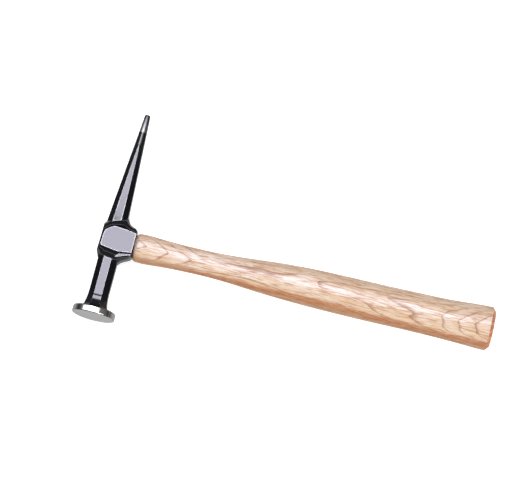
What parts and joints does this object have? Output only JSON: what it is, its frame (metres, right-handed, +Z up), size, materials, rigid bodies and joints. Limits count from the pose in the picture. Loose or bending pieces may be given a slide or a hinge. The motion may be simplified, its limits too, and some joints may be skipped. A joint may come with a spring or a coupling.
{
  "type": "pick hammer",
  "caption": "Panel-beating pick hammer: round flat striking disc on an eight-sided neck, long tapered pick opposite, oval wooden handle wedged into the eye.",
  "frame": {"origin": "centre of the bounding box on the bench plane; the hammer lies on its side, touching the bench with the disc rim, the end of the pick and the butt", "axes": "+X along the handle from the head to the butt, +Y along the bench towards the pick (the striking disc is at -Y), +Z up from the bench"},
  "size_m": [0.3294, 0.1732, 0.0351],
  "materials": {
    "head_enamel": "forged steel under gloss black enamel; striking disc and end of the pick bare ground steel",
    "handle_wood": "clear-lacquered hickory, open grain",
    "wedge_wood": "plain darker hardwood, sawn flush",
    "wedge_steel": "bright mild steel, ground flush"
  },
  "bodies": {
    "root": {"head": "head_enamel", "handle": "handle_wood", "wooden_wedge": "wedge_wood", "steel_wedge_upper": "wedge_steel", "steel_wedge_lower": "wedge_steel"}
  },
  "joints": []
}
